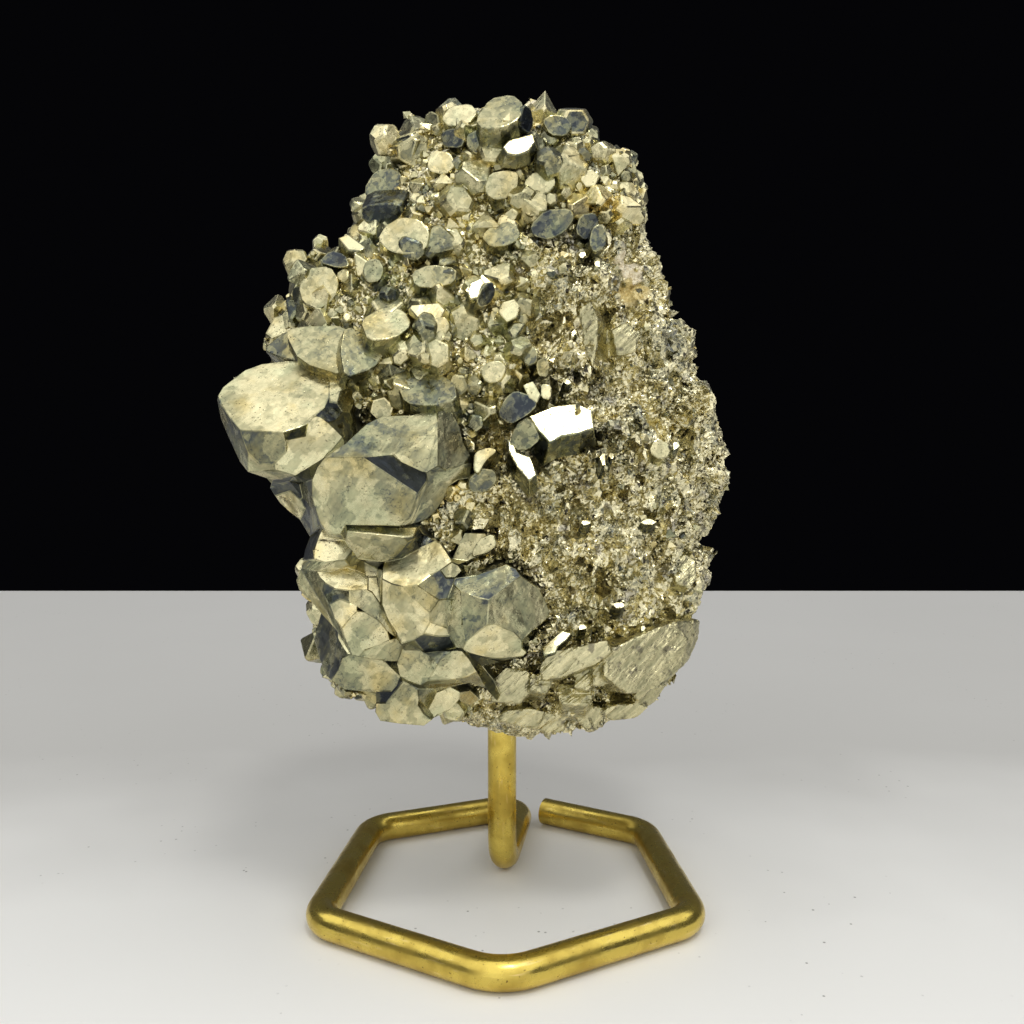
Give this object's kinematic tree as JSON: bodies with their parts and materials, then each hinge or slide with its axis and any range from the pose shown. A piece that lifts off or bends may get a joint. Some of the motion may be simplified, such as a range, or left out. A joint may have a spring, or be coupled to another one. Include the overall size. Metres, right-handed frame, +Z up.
{
  "type": "pyrite specimen on a wire stand",
  "caption": "Upright lump of pyrite with large angular crystals, a fine crystal crust and a massive granular side, held by the stem of a stand bent from one brass wire.",
  "frame": {"origin": "on the surface that the stand rests on, under the middle of the whole object", "axes": "+Z up along the stem, -Y towards the front with the large crystals, +X to the right seen from the front"},
  "size_m": [0.0658, 0.0524, 0.1057],
  "materials": {
    "pyrite": "natural pyrite, bright pale brass-yellow crystal faces with grey tarnish and rough granular sides",
    "brass_wire": "drawn brass wire, polished, with brown tarnish at the bends"
  },
  "bodies": {
    "root": {"pyrite_cluster": "pyrite", "wire_stand": "brass_wire"}
  },
  "joints": []
}
